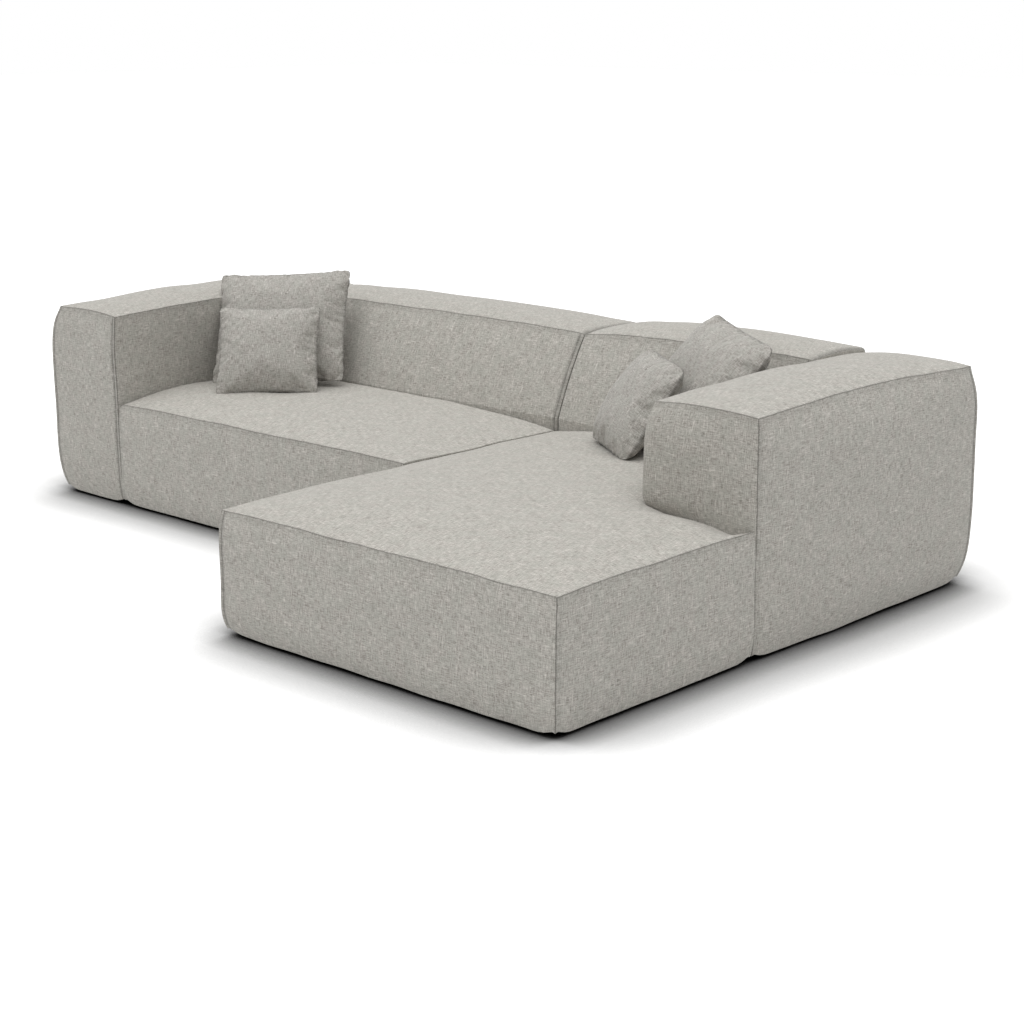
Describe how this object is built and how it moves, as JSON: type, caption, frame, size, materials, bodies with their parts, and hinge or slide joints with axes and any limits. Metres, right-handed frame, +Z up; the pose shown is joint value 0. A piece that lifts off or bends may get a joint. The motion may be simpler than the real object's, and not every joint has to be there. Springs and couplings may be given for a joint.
{
  "type": "l-shaped sofa",
  "caption": "Low L-shaped fabric sofa: a seat module and a chaise module that hook together, with block arms and back, hidden feet and loose throw pillows that lift off.",
  "frame": {"origin": "on the floor, under the middle of the sofa's bounding box", "axes": "+X to the right as seen from the front, towards the chaise's side; +Y to the rear; +Z up"},
  "size_m": [3.0731, 1.883, 0.7922],
  "materials": {
    "upholstery_fabric": "light warm-grey melange plain weave, matt",
    "pillow_fabric": "light warm-grey melange plain weave, matt",
    "pillow_filling": "loose fibre filling, white",
    "core_foam": "firm cut foam, cream",
    "soft_foam": "soft cut foam, off-white",
    "spring_steel": "drawn spring wire",
    "felt": "pressed fibre felt, grey",
    "webbing": "woven elastic webbing, black",
    "base_cloth": "spunbonded dust cloth, black",
    "foot_plastic": "moulded plastic, black, matt",
    "zinc_steel": "zinc-plated steel",
    "bracket_steel": "pressed steel, black powder coat",
    "board": "thin hardboard",
    "timber": "planed softwood, unfinished"
  },
  "bodies": {
    "left_module": {"bracket_screws": "zinc_steel", "connector_brackets": "bracket_steel", "left_arm_cover": "upholstery_fabric", "left_arm_foam": "soft_foam", "left_arm_frame": "timber", "left_arm_panels": "board", "left_back_cover": "upholstery_fabric", "left_back_foam": "soft_foam", "left_back_frame": "timber", "left_back_panel": "board", "left_back_webbing": "webbing", "left_base_cloth": "base_cloth", "left_core_foam": "core_foam", "left_cross_rails": "timber", "left_feet": "foot_plastic", "left_foot_blocks": "timber", "left_foot_screws": "zinc_steel", "left_frame_bolts": "zinc_steel", "left_seat_cover": "upholstery_fabric", "left_seat_rails": "timber", "left_seat_springs": "spring_steel", "left_spring_felt": "felt", "left_top_foam": "soft_foam"},
    "chaise_module": {"chaise_arm_cover": "upholstery_fabric", "chaise_arm_foam": "soft_foam", "chaise_arm_frame": "timber", "chaise_arm_panels": "board", "chaise_back_cover": "upholstery_fabric", "chaise_back_foam": "soft_foam", "chaise_back_frame": "timber", "chaise_back_panel": "board", "chaise_back_webbing": "webbing", "chaise_base_cloth": "base_cloth", "chaise_core_foam": "core_foam", "chaise_cross_rails": "timber", "chaise_feet": "foot_plastic", "chaise_foot_blocks": "timber", "chaise_foot_screws": "zinc_steel", "chaise_frame_bolts": "zinc_steel", "chaise_seat_cover": "upholstery_fabric", "chaise_seat_rails": "timber", "chaise_seat_springs": "spring_steel", "chaise_spring_felt": "felt", "chaise_top_foam": "soft_foam", "keeper_plates": "bracket_steel", "keeper_screws": "zinc_steel"},
    "left_large_pillow": {"left_large_pillow_cover": "pillow_fabric", "left_large_pillow_filling": "pillow_filling"},
    "left_small_pillow": {"left_small_pillow_cover": "pillow_fabric", "left_small_pillow_filling": "pillow_filling"},
    "right_large_pillow": {"right_large_pillow_cover": "pillow_fabric", "right_large_pillow_filling": "pillow_filling"},
    "right_small_pillow": {"right_small_pillow_cover": "pillow_fabric", "right_small_pillow_filling": "pillow_filling"}
  },
  "joints": [
    {"name": "chaise_lift", "type": "slide", "parent": "left_module", "child": "chaise_module", "axis": [0, 0, 1], "range_m": [0, 0.06]},
    {"name": "left_large_pillow_lift", "type": "slide", "parent": "left_module", "child": "left_large_pillow", "axis": [0, 0, 1], "range_m": [0, 0.3]},
    {"name": "left_small_pillow_lift", "type": "slide", "parent": "left_large_pillow", "child": "left_small_pillow", "axis": [0, 0, 1], "range_m": [0, 0.3]},
    {"name": "right_large_pillow_lift", "type": "slide", "parent": "chaise_module", "child": "right_large_pillow", "axis": [0, 0, 1], "range_m": [0, 0.3]},
    {"name": "right_small_pillow_lift", "type": "slide", "parent": "right_large_pillow", "child": "right_small_pillow", "axis": [0, 0, 1], "range_m": [0, 0.3]}
  ]
}
